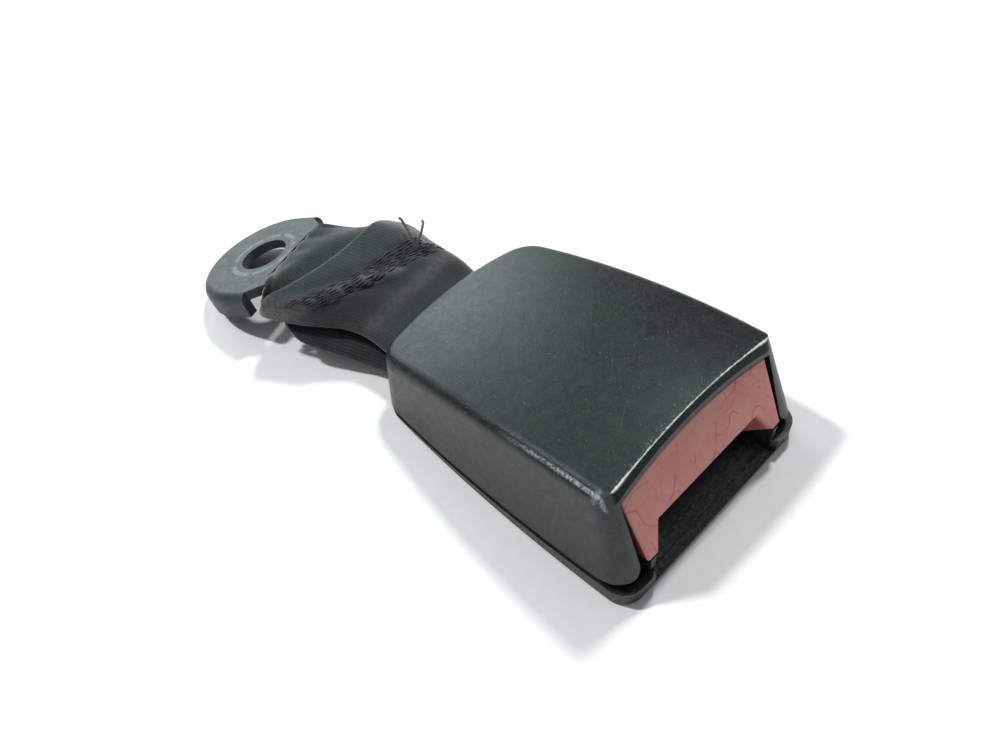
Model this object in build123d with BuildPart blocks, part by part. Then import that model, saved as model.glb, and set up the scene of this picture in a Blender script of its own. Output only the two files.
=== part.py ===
from build123d import *
from math import sin, cos, tan, atan, sqrt, pi, radians
import os

os.makedirs("parts", exist_ok=True)

# ---------------------------------------------------------------- driving dimensions (mm)
# X across the buckle, +Y towards the anchor, +Z up; origin at the middle of the flat bottom
LENGTH = 76.2            # housing, front to rear
YF = -LENGTH / 2         # front of the housing at the parting line
YR = LENGTH / 2          # rear of the housing
HALF_FRONT = 30.0        # half width of the upper cover at the front
HALF_REAR = 27.1         # and at the rear
BULGE = 1.55             # how far the sides bow out in plan
WALL = 2.2               # cover wall
SHOULDER_R = 3.2         # radius round the top edge of the upper cover
FRONT_CORNER_R = 4.2     # plan corners
REAR_CORNER_R = 8.5
REAR_BOW = 2.3           # how far the rear bows out in plan
PART_F, PART_R = 4.95, 1.55      # height of the parting line, front and rear
LEAN = 0.37              # front of the upper cover leans back, dy/dz
BUTTON_LEAN = 0.489      # button face leans back, dy/dz
BUTTON_Y = -37.8         # button face at z 8.8
OPEN_X = 24.1            # half width of the opening for the button
COL_R, COL_Z = 2.4, 6.6  # rounding at the foot of the columns either side of it
MOUTH_HALF = 20.0        # half width of the mouth in the lower cover
FLOOR = 1.5              # lower cover floor

BASE_Z0, BASE_Z1 = 2.6, 5.1      # steel base plate of the frame
FRAME_IN, FRAME_OUT = 21.8, 23.8 # inner and outer faces of the frame's side flanges
PIVOT_Y, PIVOT_Z, PIVOT_R = 14.0, 14.0, 2.0
LATCH_Z0, LATCH_Z1 = 11.6, 14.1
BRIDGE_Z0, BRIDGE_Z1 = 19.4, 20.9
RIVET_Y = (-1.0, 5.0)
RIVET_Z, RIVET_R = 15.3, 1.3
ROD_Z, ROD_R = 7.0, 1.2          # ejector guide rod
BAR_Y, BAR_Z, BAR_R = 31.5, 7.0, 2.25    # webbing bar
SLEEVE_R = 3.0
WEB_T = 1.3              # webbing thickness
LOOP_R = 3.35            # inside radius of the webbing loop round the sleeve

# anchor plate: centre of the bolt hole on its top face, and its tilted plane
HOLE_C = Vector(-20.35, 89.56, 11.72)
ANCHOR_U = Vector(0.9458, 0.3223, -0.0403).normalized()    # across
ANCHOR_N = Vector(-0.0709, 0.3261, 0.9427)                 # out of the top face
ANCHOR_N = (ANCHOR_N - ANCHOR_U * ANCHOR_N.dot(ANCHOR_U)).normalized()
ANCHOR_V = ANCHOR_N.cross(ANCHOR_U)              # towards the free end
HOLE_R = 6.25            # clearance hole for a 7/16 in. (11.1 mm) anchor bolt
CUP_R = 17.8
CUP_END = -6.0           # where the skirt stops, along V from the hole
PLATE_T = 2.5
SKIRT_H = 6.12
BAR_V = -14.25           # the anchor's own webbing bar, along V from the hole
ANCHOR_LOOP_R = 2.5      # inside radius of the webbing round that bar
ANCHOR_WEB_T = 1.8       # the webbing is bunched up in the slot


# ---------------------------------------------------------------- shape of the housing
def tt(y):
    return (y - YF) / LENGTH


def half_width(y):
    t = tt(y)
    return HALF_FRONT + (HALF_REAR - HALF_FRONT) * t + 4 * BULGE * t * (1 - t)


def parting(y):
    return PART_F + (PART_R - PART_F) * tt(y)


def edge_height(y):
    t = tt(y)
    return 28.06 - 1.78 * t - 10.87 * t * t


def crown(y):
    return 2.5 - 0.8 * tt(y)


def draft(y):
    return 0.121 + 0.025 * tt(y)


def side_x(y, z):
    """half width of the upper cover's side at height z"""
    return half_width(y) - draft(y) * (z - parting(y))


def outline(z, inset, front, rear, rf, rr):
    """plan outline at height z, rear corners rounded, front corners rounded if rf is given"""
    ym = (front + rear) / 2
    a, m, b = side_x(front, z) - inset, side_x(ym, z) - inset, side_x(rear, z) - inset
    with BuildSketch(Plane.XY.offset(z)) as sk:
        with BuildLine():
            Line((-a, front), (a, front))
            ThreePointArc((a, front), (m, ym), (b, rear))
            ThreePointArc((b, rear), (0, rear + REAR_BOW), (-b, rear))
            ThreePointArc((-b, rear), (-m, ym), (-a, front))
        make_face()
        if rf:
            fillet(sk.vertices().group_by(Axis.Y)[0], rf)
        fillet(sk.vertices().group_by(Axis.Y)[-1], rr)
    return sk.sketch


def corner(z, s):
    """plan of what the rounded front corner takes off, at height z"""
    f, r = front_y(z), FRONT_CORNER_R
    a, b = side_x(f, z), side_x(f + r, z)
    with BuildSketch(Plane.XY.offset(z)) as sk:
        with BuildLine():
            ThreePointArc((s * (a - r), f), (s * (a - 0.285 * r), f + 0.285 * r), (s * b, f + r))
            Polyline((s * b, f + r), (s * (b + 3), f + r + 1.5), (s * (a + 3), f - 3), (s * (a - r - 1.5), f - 3),
                     (s * (a - r), f))
        make_face()
    return sk.sketch


def roof(y, drop):
    """everything below the crowned top, as a cross-section at y"""
    he, cr = edge_height(y) - drop, crown(y)
    half = side_x(y, he) - SHOULDER_R * 0.8
    rad = (half * half + cr * cr) / (2 * cr)
    reach = 38
    z = he + cr - (rad - sqrt(rad * rad - reach * reach))
    with BuildSketch(Plane.XZ.offset(-y)) as sk:
        with BuildLine():
            ThreePointArc((-reach, z), (0, he + cr), (reach, z))
            Polyline((reach, z), (reach, -12), (-reach, -12), (-reach, z))
        make_face()
    return sk.sketch


def front_y(z):
    return YF + LEAN * (z - PART_F)


def rear_y(z):
    return YR + 0.8 + 0.1 * (z - 15)


def cut_line(y):
    """bottom edge of the upper cover"""
    return parting(y)


STATIONS = [YF - 8, YF + 6, YF + 20, YF + 38, YF + 56, YF + 70, YR + 8]


def yz_prism(pts, x0, x1, mode=Mode.ADD):
    """polygon in the YZ plane, extruded from x0 to x1"""
    with BuildSketch(Plane.YZ.offset(x0)) as sk:
        with BuildLine():
            Polyline(*pts, close=True)
        make_face()
    extrude(sk.sketch, amount=x1 - x0, mode=mode)


def xz_prism(pts, y0, y1, mode=Mode.ADD):
    """polygon in the XZ plane, extruded from y0 to y1"""
    with BuildSketch(Plane.XZ.offset(-y0)) as sk:
        with BuildLine():
            Polyline(*pts, close=True)
        make_face()
    extrude(sk.sketch, amount=-(y1 - y0), mode=mode)


def block(x0, x1, y0, y1, z0, z1, mode=Mode.ADD):
    with BuildSketch(Plane.XY.offset(z0)) as sk:
        with Locations(((x0 + x1) / 2, (y0 + y1) / 2)):
            Rectangle(x1 - x0, y1 - y0)
    extrude(sk.sketch, amount=z1 - z0, mode=mode)


def rod_x(y, z, r, x0, x1, mode=Mode.ADD):
    """round bar along X"""
    with BuildSketch(Plane.YZ.offset(x0)) as sk:
        with Locations((y, z)):
            Circle(r)
    extrude(sk.sketch, amount=x1 - x0, mode=mode)


def rod_y(x, z, r, y0, y1, mode=Mode.ADD):
    """round bar along Y"""
    with BuildSketch(Plane.XZ.offset(-y0)) as sk:
        with Locations((x, z)):
            Circle(r)
    extrude(sk.sketch, amount=-(y1 - y0), mode=mode)


# ---------------------------------------------------------------- upper cover
with BuildPart(mode=Mode.PRIVATE) as cover_block:
    add(outline(-4, 0, front_y(-4), rear_y(-4), 0, REAR_CORNER_R))
    add(outline(36, 0, front_y(36), rear_y(36), 0, REAR_CORNER_R))
    loft(ruled=True)
with BuildPart(mode=Mode.PRIVATE) as cover_roof:
    for y in STATIONS:
        add(roof(y, 0))
    loft()
with BuildPart(mode=Mode.PRIVATE) as void_block:
    add(outline(-5, WALL, front_y(-5) + 2.5, rear_y(-5) - WALL, 2.4, REAR_CORNER_R - WALL))
    add(outline(36, WALL, front_y(36) + 2.5, rear_y(36) - WALL, 2.4, REAR_CORNER_R - WALL))
    loft(ruled=True)
with BuildPart(mode=Mode.PRIVATE) as void_roof:
    for y in STATIONS:
        add(roof(y, WALL))
    loft()
cover_void = void_block.part & void_roof.part


def on_roof(e):
    for k in range(5):
        p = e.position_at(k / 4)
        he, cr = edge_height(p.Y), crown(p.Y)
        half = side_x(p.Y, he) - SHOULDER_R * 0.8
        rad = (half * half + cr * cr) / (2 * cr)
        if abs(p.Z - (he + cr - (rad - sqrt(rad * rad - p.X * p.X)))) > 0.4:
            return False
    return abs(e.center().Y - front_y(e.center().Z)) > 1


with BuildPart() as upper_cover:
    add(cover_block.part & cover_roof.part)
    fillet(upper_cover.edges().filter_by(on_roof), SHOULDER_R)
    for s in (-1, 1):
        with BuildPart(mode=Mode.PRIVATE) as corner_cut:
            add(corner(-6, s))
            add(corner(38, s))
            loft(ruled=True)
        add(corner_cut.part, mode=Mode.SUBTRACT)
    add(cover_void, mode=Mode.SUBTRACT)
    # cut off along the sloping parting line, higher across the front
    yz_prism([(YF - 12, -8), (YF - 12, 7.6), (YF + 2.2, 6.5), (YF + 7.0, cut_line(YF + 7.0)),
              (YR + 12, cut_line(YR + 12)), (YR + 12, -8)], -45, 45, Mode.SUBTRACT)
    # opening for the button: arched top, open at the bottom, corners of the columns rounded
    with BuildSketch(Plane.XZ.offset(45)):
        with BuildLine():
            Line((-OPEN_X - COL_R, -6), (OPEN_X + COL_R, -6))
            Line((OPEN_X + COL_R, -6), (OPEN_X + COL_R, COL_Z))
            ThreePointArc((OPEN_X + COL_R, COL_Z), (OPEN_X + COL_R * (1 - sin(pi / 4)), COL_Z + COL_R * (1 - sin(pi / 4))),
                          (OPEN_X, COL_Z + COL_R))
            Line((OPEN_X, COL_Z + COL_R), (OPEN_X, 24.3))
            ThreePointArc((OPEN_X, 24.3), (0, 27.3), (-OPEN_X, 24.3))
            Line((-OPEN_X, 24.3), (-OPEN_X, COL_Z + COL_R))
            ThreePointArc((-OPEN_X, COL_Z + COL_R), (-OPEN_X - COL_R * (1 - sin(pi / 4)), COL_Z + COL_R * (1 - sin(pi / 4))),
                          (-OPEN_X - COL_R, COL_Z))
            Line((-OPEN_X - COL_R, COL_Z), (-OPEN_X - COL_R, -6))
        make_face()
    extrude(amount=-21, mode=Mode.SUBTRACT)
    # mouth for the webbing at the rear
    block(-24.4, 24.4, 28, 48, -6, 13.6, Mode.SUBTRACT)
    # ribs behind the button springs, grown down from the roof
    for s in (-1, 1):
        with BuildSketch(Plane.XZ.offset(12.5)):
            with Locations((s * 20.5, 20.6)):
                Rectangle(5.0, 9.2)
        extrude(amount=-2.0)
upper_cover.part.label = "upper_cover"
export_step(upper_cover.part, "parts/upper_cover.step")
print("upper_cover", upper_cover.part.is_valid, len(upper_cover.solids()), upper_cover.part.bounding_box())

# ---------------------------------------------------------------- lower cover
with BuildPart() as lower_cover:
    with BuildSketch(Plane.XY):
        with BuildLine():
            ym = (YF - 0.9 + YR - 0.9) / 2
            a, m, b = half_width(YF) + 0.3, half_width(ym) + 0.3, half_width(YR) + 0.3
            Line((-a, YF - 0.9), (a, YF - 0.9))
            ThreePointArc((a, YF - 0.9), (m, ym), (b, YR - 0.9))
            ThreePointArc((b, YR - 0.9), (0, YR - 0.9 + REAR_BOW), (-b, YR - 0.9))
            ThreePointArc((-b, YR - 0.9), (-m, ym), (-a, YF - 0.9))
        make_face()
        fillet(vertices().group_by(Axis.Y)[0], 5.0)
        fillet(vertices().group_by(Axis.Y)[-1], 9.0)
    extrude(amount=7)
    fillet(faces().sort_by(Axis.Z)[0].edges(), 0.7)
    with BuildSketch(Plane.XY.offset(FLOOR)):
        with BuildLine():
            a2, m2, b2 = a - 1.8, m - 1.8, b - 1.8
            Line((-a2, YF + 0.9), (a2, YF + 0.9))
            ThreePointArc((a2, YF + 0.9), (m2, ym), (b2, YR - 2.7))
            ThreePointArc((b2, YR - 2.7), (0, YR - 2.7 + REAR_BOW), (-b2, YR - 2.7))
            ThreePointArc((-b2, YR - 2.7), (-m2, ym), (-a2, YF + 0.9))
        make_face()
        fillet(vertices().group_by(Axis.Y)[0], 3.2)
        fillet(vertices().group_by(Axis.Y)[-1], 7.2)
    extrude(amount=8, mode=Mode.SUBTRACT)
    # rim stops short of the parting line
    yz_prism([(YF - 12, parting(YF - 12) - 0.75), (YF - 12, 20), (YR + 12, 20), (YR + 12, parting(YR + 12) - 0.6)],
             -45, 45, Mode.SUBTRACT)
    # mouth for the tongue, and its ramped lip
    with BuildSketch(Plane.XY.offset(1.1)):
        with BuildLine():
            Polyline((-MOUTH_HALF - 1.9, YF - 1.5), (MOUTH_HALF + 1.9, YF - 1.5), (MOUTH_HALF, YF + 1.2),
                     (-MOUTH_HALF, YF + 1.2), close=True)
        make_face()
    extrude(amount=8, mode=Mode.SUBTRACT)
    yz_prism([(YF - 0.6, 0.6), (YF - 0.6, 1.1), (-31.2, 2.6), (-29.7, 2.6), (-29.7, 0.6)], -MOUTH_HALF, MOUTH_HALF)
    # rear notch for the webbing
    block(-22.6, 22.6, 30.5, 46, -1, 9, Mode.SUBTRACT)
    for s in (-1, 1):
        # cheeks either side of the mouth
        block(s * 21.0 - 0.8, s * 21.0 + 0.8, YF + 0.4, -24.3, 0.8, 8.4)
        # posts under the frame
        for y in (-18, 18):
            with BuildSketch(Plane.XY.offset(0.8)):
                with Locations((s * 18, y)):
                    Circle(2)
            extrude(amount=BASE_Z0 - 0.8)
        # snap tabs inside the upper cover
        block(s * 26.5 - 0.65, s * 26.5 + 0.65, -13, -7, 0.8, 9)
        block(s * 25.2 - 0.65, s * 25.2 + 0.65, 12, 18, 0.8, 9)
lower_cover.part.label = "lower_cover"
export_step(lower_cover.part, "parts/lower_cover.step")
print("lower_cover", lower_cover.part.is_valid, len(lower_cover.solids()), lower_cover.part.bounding_box())

# ---------------------------------------------------------------- press button
with BuildPart() as press_button:
    # inverted U: crossbar with an arched top, and a leg down each side of the mouth
    with BuildSketch(Plane.XZ.offset(46)):
        with BuildLine():
            Polyline((-22.6, 9.2), (-14.6, 9.2), (-14.6, 14.9), (14.6, 14.9), (14.6, 9.2), (22.6, 9.2), (23.4, 23.6))
            ThreePointArc((23.4, 23.6), (0, 25.9), (-23.4, 23.6))
            Line((-23.4, 23.6), (-22.6, 9.2))
        make_face()
    extrude(amount=-(46 - 27.5))
    block(-30, 30, -30.5, -20, 5, 14.9, Mode.SUBTRACT)
    # funnel face on the inside of each leg
    for s in (-1, 1):
        with BuildSketch(Plane.XY.offset(14.9)):
            with BuildLine():
                Polyline((s * 14, -48), (s * 30.6, -48), (s * 14.5, -32.6), (s * 14, -32.6), close=True)
            make_face()
        extrude(amount=-8, mode=Mode.SUBTRACT)
        block(*sorted((s * 14.0, s * 19.1)), -32.7, -29, 5, 14.9, Mode.SUBTRACT)
    # leaning face
    yz_prism([(-60, 0), (BUTTON_Y + BUTTON_LEAN * (0 - 8.8), 0), (BUTTON_Y + BUTTON_LEAN * (32 - 8.8), 32), (-60, 32)],
             -30, 30, Mode.SUBTRACT)
    # soften the edges of the face
    face_edges = press_button.edges().filter_by(lambda e: all(
        abs(e.position_at(k / 2).Y - (BUTTON_Y + BUTTON_LEAN * (e.position_at(k / 2).Z - 8.8))) < 0.01
        for k in range(3)))
    fillet(face_edges.filter_by(lambda e: abs(e.center().X) > 21.9 or e.center().Z > 20), 0.5)
    for s in (-1, 1):
        # stops behind the cover's front wall
        block(s * 23.7 - 1.7, s * 23.7 + 1.7, -28.6, -26.6, 15.0, 19.5)
        # spring bosses
        block(s * 20.5 - 2.0, s * 20.5 + 2.0, -27.6, -24.0, 16.3, 20.7)
        # arms with the ramps that lift the latch
        yz_prism([(-28.0, 14.4), (-21.0, 14.4), (-20.0, 9.9), (-2.5, 9.9), (-2.5, 11.2), (-8.0, 11.2),
                  (-13.5, 16.25), (-14.5, 17.9), (-28.0, 17.9)], s * 15.75 - 1.75, s * 15.75 + 1.75)
press_button.part.label = "press_button"
export_step(press_button.part, "parts/press_button.step")
print("press_button", press_button.part.is_valid, len(press_button.solids()), press_button.part.bounding_box())

# ---------------------------------------------------------------- steel frame
with BuildPart() as frame:
    block(-FRAME_OUT, FRAME_OUT, -24.0, 23.5, BASE_Z0, BASE_Z1)
    for x0, x1 in ((-FRAME_OUT, -FRAME_IN), (FRAME_IN, FRAME_OUT)):
        yz_prism([(-22, BASE_Z0), (35.4, BASE_Z0), (35.4, 11.5), (24, 13.5), (20, 17.5), (-6, 17.5), (-14, 9),
                  (-22, 9)], x0, x1)
    fillet(frame.edges().filter_by(Axis.Y).filter_by(
        lambda e: abs(abs(e.center().X) - FRAME_OUT) < 0.01 and abs(e.center().Z - BASE_Z0) < 0.01), 1.6)
    # window for the latch tooth, slot under the ejector spring
    block(-7, 7, -14.5, -7.5, 0, 8, Mode.SUBTRACT)
    block(-3.5, 3.5, 1.0, 20.5, 0, 8, Mode.SUBTRACT)
    # bent-up tab that carries the guide rod
    block(-6, 6, 21.0, 23.0, BASE_Z0, 10.0)
    rod_y(0, ROD_Z, ROD_R + 0.03, 20, 24, Mode.SUBTRACT)
    rod_x(PIVOT_Y, PIVOT_Z, PIVOT_R + 0.03, -30, 30, Mode.SUBTRACT)
    rod_x(BAR_Y, BAR_Z, BAR_R + 0.03, -30, 30, Mode.SUBTRACT)
    for y in RIVET_Y:
        rod_x(y, RIVET_Z, RIVET_R + 0.02, -30, 30, Mode.SUBTRACT)
frame.part.label = "frame"
export_step(frame.part, "parts/frame.step")
print("frame", frame.part.is_valid, len(frame.solids()), frame.part.bounding_box())

# ---------------------------------------------------------------- bridge over the latch
with BuildPart() as bridge:
    block(-21.6, 21.6, -6.0, 6.5, BRIDGE_Z0, BRIDGE_Z1)
    for s in (-1, 1):
        block(s * 20.8 - 0.8, s * 20.8 + 0.8, -3.5, 6.5, 13.0, BRIDGE_Z1)
    fillet(bridge.edges().filter_by(Axis.Y).filter_by(
        lambda e: abs(abs(e.center().X) - 21.6) < 0.01 and e.center().Z > 20.5), 1.2)
    for y in RIVET_Y:
        rod_x(y, RIVET_Z, RIVET_R + 0.02, -30, 30, Mode.SUBTRACT)
bridge.part.label = "bridge"
export_step(bridge.part, "parts/bridge.step")
print("bridge", bridge.part.is_valid, len(bridge.solids()))

with BuildPart() as bridge_rivets:
    for s in (-1, 1):
        for y in RIVET_Y:
            rod_x(y, RIVET_Z, RIVET_R, *sorted((s * 19.3, s * 24.5)))
            rod_x(y, RIVET_Z, 2.1, *sorted((s * 19.3, s * 19.95)))
            rod_x(y, RIVET_Z, 2.1, *sorted((s * 23.85, s * 24.6)))
bridge_rivets.part.label = "bridge_rivets"
export_step(bridge_rivets.part, "parts/bridge_rivets.step")
print("bridge_rivets", bridge_rivets.part.is_valid, len(bridge_rivets.solids()))

# rubber strip under the bridge that quietens the latch
with BuildPart() as latch_buffer:
    block(-8, 8, -6.0, -4.8, 18.85, BRIDGE_Z0)
latch_buffer.part.label = "latch_buffer"
export_step(latch_buffer.part, "parts/latch_buffer.step")

# ---------------------------------------------------------------- latch plate
with BuildPart() as latch_plate:
    block(-12, 12, -12, PIVOT_Y, LATCH_Z0, LATCH_Z1)
    block(-17.5, 17.5, -8, -4, LATCH_Z0, LATCH_Z1)
    rod_x(PIVOT_Y, PIVOT_Z, 3.4, -15, 15)
    yz_prism([(-12, 12), (-12, 3.4), (-10.6, 3.4), (-9, 5.4), (-9, 12)], -6, 6)
    rod_x(PIVOT_Y, PIVOT_Z, PIVOT_R + 0.05, -30, 30, Mode.SUBTRACT)
latch_plate.part.label = "latch_plate"
export_step(latch_plate.part, "parts/latch_plate.step")
print("latch_plate", latch_plate.part.is_valid, len(latch_plate.solids()))

with BuildPart() as latch_pin:
    rod_x(PIVOT_Y, PIVOT_Z, PIVOT_R, -25.2, 24.9)
    rod_x(PIVOT_Y, PIVOT_Z, 3.0, 23.9, 24.9)
    rod_x(PIVOT_Y, PIVOT_Z, 4.0, -24.7, -23.9, Mode.SUBTRACT)
    rod_x(PIVOT_Y, PIVOT_Z, 1.5, -24.75, -23.85)
latch_pin.part.label = "latch_pin"
export_step(latch_pin.part, "parts/latch_pin.step")
print("latch_pin", latch_pin.part.is_valid, len(latch_pin.solids()))

# spring clip in the pin's groove
with BuildPart() as pin_clip:
    rod_x(PIVOT_Y, PIVOT_Z, 3.6, -24.6, -24.0)
    rod_x(PIVOT_Y, PIVOT_Z, 1.53, -26, -22, Mode.SUBTRACT)
    block(-26, -22, PIVOT_Y - 1.3, PIVOT_Y + 1.3, PIVOT_Z - 5, PIVOT_Z, Mode.SUBTRACT)
pin_clip.part.label = "pin_clip"
export_step(pin_clip.part, "parts/pin_clip.step")
print("pin_clip", pin_clip.part.is_valid, len(pin_clip.solids()))


# ---------------------------------------------------------------- springs
def coil(start, direction, length, radius, wire, turns):
    """helical wire from start along direction"""
    with BuildPart(mode=Mode.PRIVATE) as c:
        with BuildLine() as path:
            Helix(pitch=length / turns, height=length, radius=radius, center=start, direction=direction)
        with BuildSketch(Plane(origin=path.line @ 0, z_dir=path.line % 0)):
            Circle(wire)
        sweep(is_frenet=True)
    return c.part


with BuildPart() as latch_spring:
    add(coil((0, -1, LATCH_Z1 + 0.33), (0, 0, 1), BRIDGE_Z0 - LATCH_Z1 - 0.66, 2.9, 0.3, 2.5))
latch_spring.part.label = "latch_spring"
export_step(latch_spring.part, "parts/latch_spring.step")

with BuildPart() as ejector_spring:
    add(coil((0, 2.4, ROD_Z), (0, 1, 0), 18.2, 2.0, 0.35, 8))
ejector_spring.part.label = "ejector_spring"
export_step(ejector_spring.part, "parts/ejector_spring.step")

with BuildPart() as button_spring_left:
    add(coil((-20.5, -23.65, 18.5), (0, 1, 0), 10.8, 1.6, 0.3, 7))
button_spring_left.part.label = "button_spring_left"
export_step(button_spring_left.part, "parts/button_spring_left.step")

with BuildPart() as button_spring_right:
    add(coil((20.5, -23.65, 18.5), (0, 1, 0), 10.8, 1.6, 0.3, 7))
button_spring_right.part.label = "button_spring_right"
export_step(button_spring_right.part, "parts/button_spring_right.step")
for s in (latch_spring, ejector_spring, button_spring_left, button_spring_right):
    print(s.part.label, s.part.is_valid, len(s.solids()), s.part.bounding_box())

# ---------------------------------------------------------------- ejector and its guide rod
with BuildPart() as ejector:
    block(-12, 12, -3, 2, 5.5, 8.8)
    for s in (-1, 1):
        block(s * 9.5 - 2.5, s * 9.5 + 2.5, -14.5, -2.5, 5.5, 8.8)
    fillet(ejector.edges().filter_by(Axis.Z).filter_by(lambda e: e.center().Y < -14), 1.0)
    rod_y(0, ROD_Z, ROD_R + 0.08, -6, 6, Mode.SUBTRACT)
ejector.part.label = "ejector"
export_step(ejector.part, "parts/ejector.step")
print("ejector", ejector.part.is_valid, len(ejector.solids()))

with BuildPart() as guide_rod:
    rod_y(0, ROD_Z, ROD_R, -2.0, 23.0)
guide_rod.part.label = "guide_rod"
export_step(guide_rod.part, "parts/guide_rod.step")

# ---------------------------------------------------------------- tongue guide behind the mouth
with BuildPart() as tongue_guide:
    block(-18.8, 18.8, -27.0, -22.5, 1.6, 13.9)
    block(-17.6, 17.6, -24.3, -20, 1.0, 5.15, Mode.SUBTRACT)
    block(-19, 19, -24.3, -20, 1.0, 5.2, Mode.SUBTRACT)
    block(-14.6, 14.6, -31, -20, 5.2, 9.7, Mode.SUBTRACT)
    # funnel round the slot
    with BuildSketch(Plane.XZ.offset(27.1)):
        with Locations((0, 7.45)):
            Rectangle(32.0, 8.5)
    with BuildSketch(Plane.XZ.offset(24.9)):
        with Locations((0, 7.45)):
            Rectangle(29.2, 4.5)
    loft(ruled=True, mode=Mode.SUBTRACT)
tongue_guide.part.label = "tongue_guide"
export_step(tongue_guide.part, "parts/tongue_guide.step")
print("tongue_guide", tongue_guide.part.is_valid, len(tongue_guide.solids()))

# ---------------------------------------------------------------- webbing bar and sleeve
with BuildPart() as webbing_bar:
    rod_x(BAR_Y, BAR_Z, BAR_R, -24.15, 24.15)
    chamfer(webbing_bar.edges().filter_by(GeomType.CIRCLE), 0.4)
webbing_bar.part.label = "webbing_bar"
export_step(webbing_bar.part, "parts/webbing_bar.step")

with BuildPart() as bar_sleeve:
    rod_x(BAR_Y, BAR_Z, SLEEVE_R, -21.5, 21.5)
    rod_x(BAR_Y, BAR_Z, BAR_R + 0.05, -30, 30, Mode.SUBTRACT)
bar_sleeve.part.label = "bar_sleeve"
export_step(bar_sleeve.part, "parts/bar_sleeve.step")

# ---------------------------------------------------------------- anchor plate
A = Plane(origin=HOLE_C, x_dir=ANCHOR_U, z_dir=ANCHOR_N)
with BuildPart(mode=Mode.PRIVATE) as cup:
    with BuildSketch(Plane.XY.offset(-SKIRT_H)):
        with BuildLine():
            Line((CUP_R, 0), (CUP_R, CUP_END))
            Line((CUP_R, CUP_END), (-CUP_R, CUP_END))
            Line((-CUP_R, CUP_END), (-CUP_R, 0))
            ThreePointArc((-CUP_R, 0), (0, CUP_R), (CUP_R, 0))
        make_face()
    extrude(amount=SKIRT_H)
    fillet(cup.edges().filter_by(lambda e: e.center().Z > -0.01 and e.center().Y > CUP_END + 0.1), 2.4)
    with BuildSketch(Plane.XY.offset(-SKIRT_H)):
        with BuildLine():
            Line((CUP_R - 2.5, 0), (CUP_R - 2.5, CUP_END - 1))
            Line((CUP_R - 2.5, CUP_END - 1), (-CUP_R + 2.5, CUP_END - 1))
            Line((-CUP_R + 2.5, CUP_END - 1), (-CUP_R + 2.5, 0))
            ThreePointArc((-CUP_R + 2.5, 0), (0, CUP_R - 2.5), (CUP_R - 2.5, 0))
        make_face()
    extrude(amount=SKIRT_H - PLATE_T, mode=Mode.SUBTRACT)
with BuildPart(mode=Mode.PRIVATE) as neck:
    with BuildSketch(Plane.XY.offset(-PLATE_T)):
        with BuildLine():
            Polyline((-15.6, 0), (15.6, 0), (15.6, CUP_END), (13.2, -9.4))
            ThreePointArc((13.2, -9.4), (12.6, -10.5), (12.4, -11.8))
            Line((12.4, -11.8), (12.4, -14.2))
            ThreePointArc((12.4, -14.2), (11.85, -15.45), (10.6, -16.0))
            Line((10.6, -16.0), (-10.6, -16.0))
            ThreePointArc((-10.6, -16.0), (-11.85, -15.45), (-12.4, -14.2))
            Line((-12.4, -14.2), (-12.4, -11.8))
            ThreePointArc((-12.4, -11.8), (-12.6, -10.5), (-13.2, -9.4))
            Polyline((-13.2, -9.4), (-15.6, CUP_END), (-15.6, 0))
        make_face()
    extrude(amount=PLATE_T)
    with BuildSketch(Plane.XY.offset(-5)):
        with Locations((0, (-12.5 - 9.1) / 2)):
            RectangleRounded(20.0, 3.4, 1.2)
    extrude(amount=8, mode=Mode.SUBTRACT)
with BuildPart(mode=Mode.PRIVATE) as anchor_local:
    add(cup.part)
    add(neck.part)
    with BuildSketch(Plane.XY.offset(-8)):
        Circle(HOLE_R)
    extrude(amount=12, mode=Mode.SUBTRACT)
with BuildPart() as anchor_plate:
    add(anchor_local.part.moved(A.location))
anchor_plate.part.label = "anchor_plate"
export_step(anchor_plate.part, "parts/anchor_plate.step")
print("anchor_plate", anchor_plate.part.is_valid, len(anchor_plate.solids()), anchor_plate.part.bounding_box())

# ---------------------------------------------------------------- webbing
PB = HOLE_C + ANCHOR_V * BAR_V - ANCHOR_N * (PLATE_T / 2)      # axis of the anchor's bar
X_DIR = Vector(1, 0, 0)


def blend(k):
    return (X_DIR * (1 - k) + ANCHOR_U * k).normalized()


mid = LOOP_R + WEB_T / 2
amid = ANCHOR_LOOP_R + ANCHOR_WEB_T / 2
top_path = [((-13.0, 70.6, 18.2), 16.8, 0.15), ((-11.6, 65.0, 17.35), 16.9, 0.1), ((-10.2, 59.0, 16.3), 17.0, 0.05),
            ((-8.2, 50.0, 14.35), 17.0, 0.0), ((-6.6, 44.0, 12.75), 17.0, 0.0), ((-4.2, 39.8, 11.85), 18.0, 0.0),
            ((-1.2, 35.6, 11.2), 20.0, 0.0)]
path = [(Vector(*p), h, WEB_T, k) for p, h, k in top_path]
for a in (0, 22.5, 45, 67.5, 90, 112.5, 135, 157.5, 180):
    r = radians(a)
    path.append((Vector(0, BAR_Y - mid * sin(r), BAR_Z + mid * cos(r)), 21.0, WEB_T, 0.0))
path += [(Vector(-1.2, 35.6, 3.0), 20.4, WEB_T, 0.0), (Vector(-3.6, 39.8, 3.2), 18.6, WEB_T, 0.0),
         (Vector(-6.0, 44.0, 3.8), 17.6, WEB_T, 0.0), (Vector(-8.6, 52.0, 5.4), 17.0, WEB_T, 0.1),
         (Vector(-11.2, 61.0, 7.8), 16.6, WEB_T, 0.4), (Vector(-13.8, 69.4, 10.2), 14.5, 1.5, 0.9)]
for a, h in ((180, 12.0), (165, 11.0), (150, 10.2), (140, 9.2), (120, 9.2), (90, 9.2), (60, 9.2), (40, 9.2),
             (30, 10.2), (15, 11.4), (0, 12.4)):
    r = radians(a)
    path.append((PB + ANCHOR_V * (amid * sin(r)) + ANCHOR_N * (amid * cos(r)), h, ANCHOR_WEB_T, 1.0))
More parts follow.
